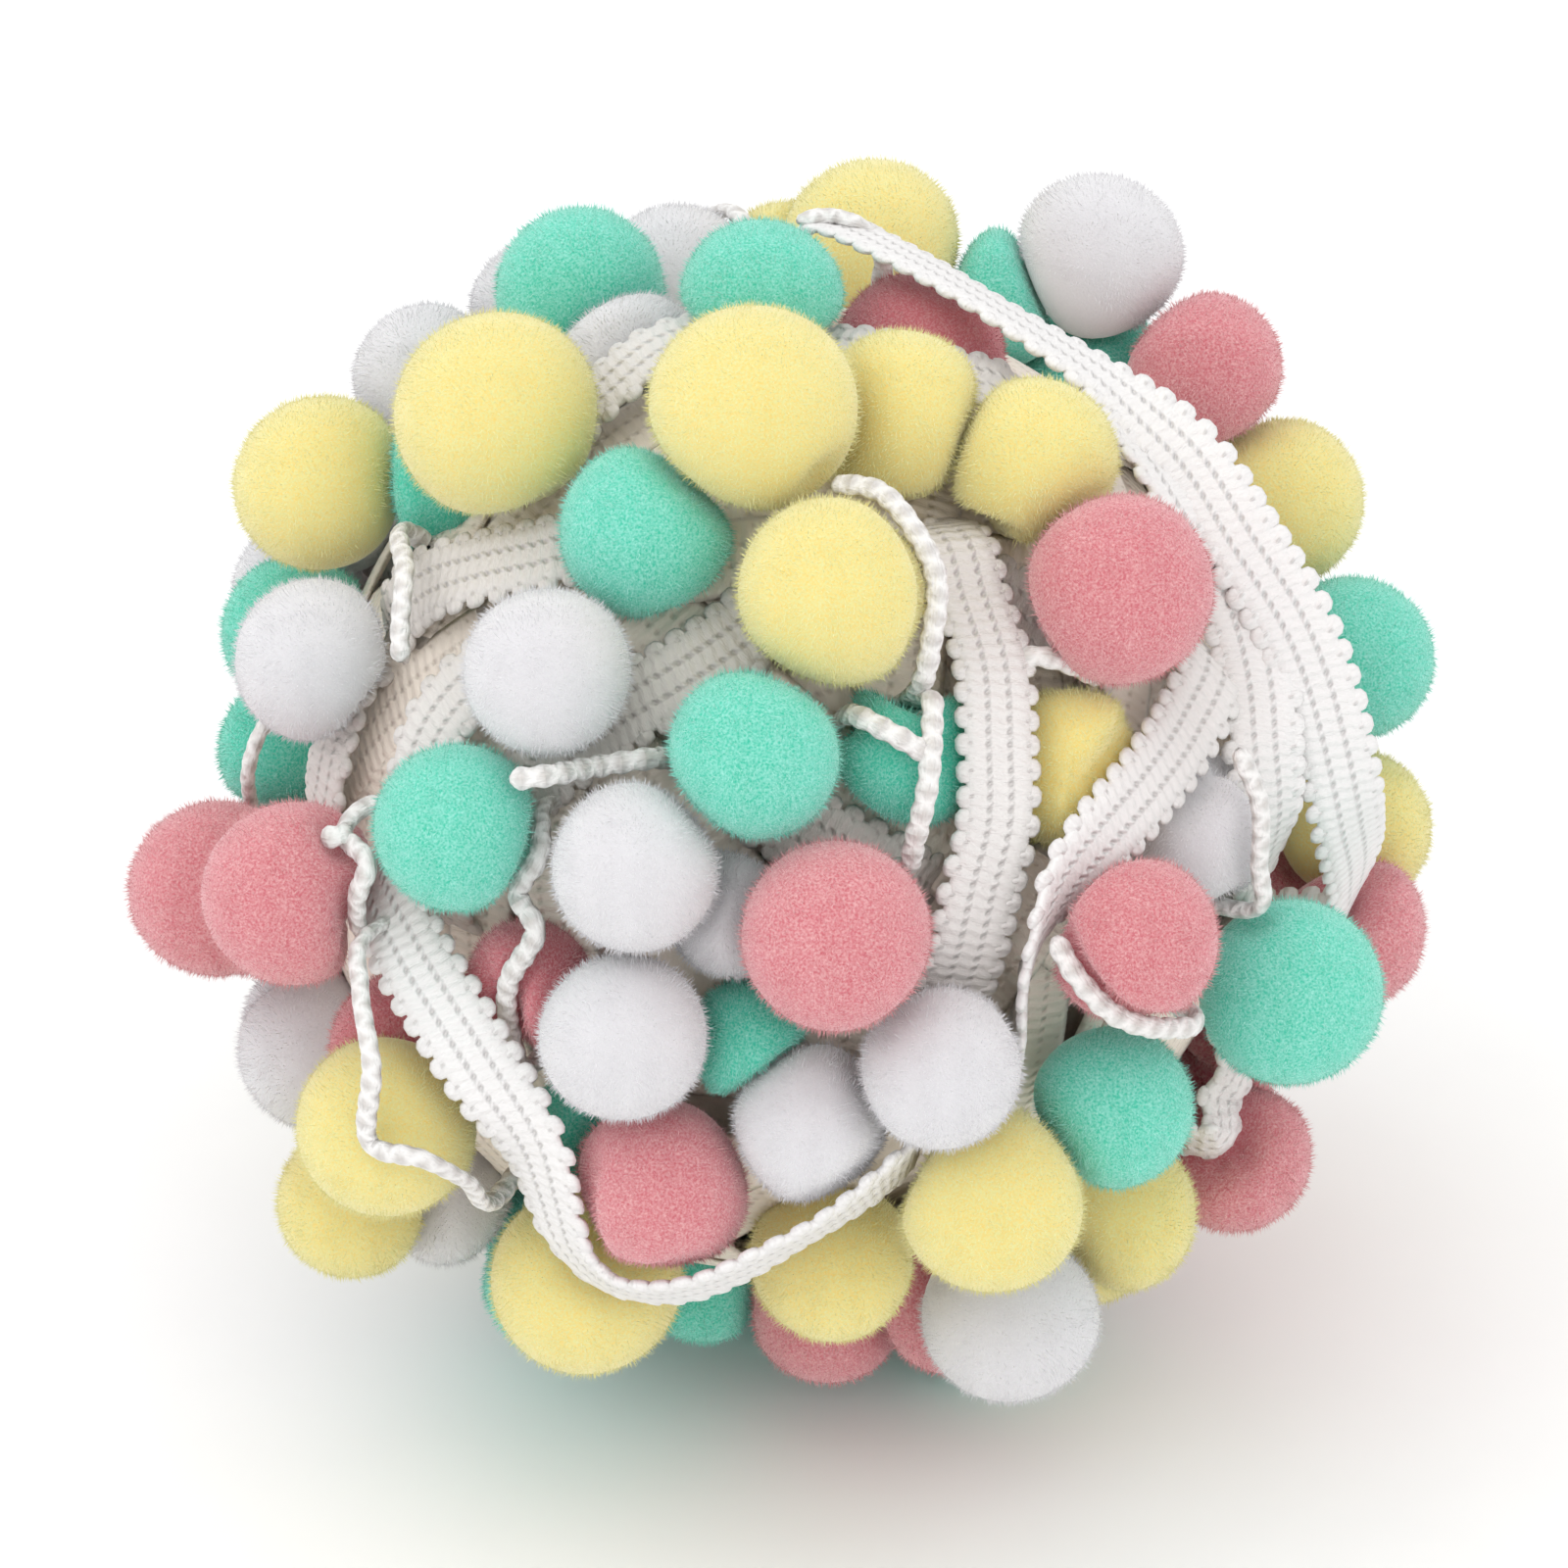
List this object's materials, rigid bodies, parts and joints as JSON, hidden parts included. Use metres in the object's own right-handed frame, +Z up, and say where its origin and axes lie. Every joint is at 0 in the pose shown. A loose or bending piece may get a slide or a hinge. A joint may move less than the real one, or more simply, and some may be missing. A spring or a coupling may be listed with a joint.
{
  "type": "pompom fringe trim",
  "caption": "Picot-edged knitted tape with soft round pompoms hung from it on looped cords, wound by hand into a loose ball for storage.",
  "frame": {"origin": "on the surface that the ball rests on, under the middle of its bounding box", "axes": "+Z up from the flat under side, -Y towards the side that the picture shows, +X to that side's right"},
  "size_m": [0.149, 0.147, 0.1461],
  "materials": {
    "mint_pile": "dense clipped acrylic pile",
    "yellow_pile": "dense clipped acrylic pile",
    "pink_pile": "dense clipped acrylic pile",
    "white_pile": "dense clipped acrylic pile",
    "white_tape": "warp-knitted polyester tape and braided cord, slightly glossy yarn"
  },
  "bodies": {
    "root": {"pompoms_mint_01": "mint_pile", "pompoms_mint_02": "mint_pile", "pompoms_mint_03": "mint_pile", "pompoms_mint_04": "mint_pile", "pompoms_mint_05": "mint_pile", "pompoms_mint_06": "mint_pile", "pompoms_mint_07": "mint_pile", "pompoms_mint_08": "mint_pile", "pompoms_mint_09": "mint_pile", "pompoms_mint_10": "mint_pile", "pompoms_mint_11": "mint_pile", "pompoms_mint_12": "mint_pile", "pompoms_mint_13": "mint_pile", "pompoms_mint_14": "mint_pile", "pompoms_mint_15": "mint_pile", "pompoms_pink_01": "pink_pile", "pompoms_pink_02": "pink_pile", "pompoms_pink_03": "pink_pile", "pompoms_pink_04": "pink_pile", "pompoms_pink_05": "pink_pile", "pompoms_pink_06": "pink_pile", "pompoms_pink_07": "pink_pile", "pompoms_pink_08": "pink_pile", "pompoms_pink_09": "pink_pile", "pompoms_pink_10": "pink_pile", "pompoms_pink_11": "pink_pile", "pompoms_pink_12": "pink_pile", "pompoms_pink_13": "pink_pile", "pompoms_white_01": "white_pile", "pompoms_white_02": "white_pile", "pompoms_white_03": "white_pile", "pompoms_white_04": "white_pile", "pompoms_white_05": "white_pile", "pompoms_white_06": "white_pile", "pompoms_white_07": "white_pile", "pompoms_white_08": "white_pile", "pompoms_white_09": "white_pile", "pompoms_white_10": "white_pile", "pompoms_white_11": "white_pile", "pompoms_white_12": "white_pile", "pompoms_yellow_01": "yellow_pile", "pompoms_yellow_02": "yellow_pile", "pompoms_yellow_03": "yellow_pile", "pompoms_yellow_04": "yellow_pile", "pompoms_yellow_05": "yellow_pile", "pompoms_yellow_06": "yellow_pile", "pompoms_yellow_07": "yellow_pile", "pompoms_yellow_08": "yellow_pile", "pompoms_yellow_09": "yellow_pile", "pompoms_yellow_10": "yellow_pile", "pompoms_yellow_11": "yellow_pile", "pompoms_yellow_12": "yellow_pile", "wound_trim": "white_tape"}
  },
  "joints": []
}
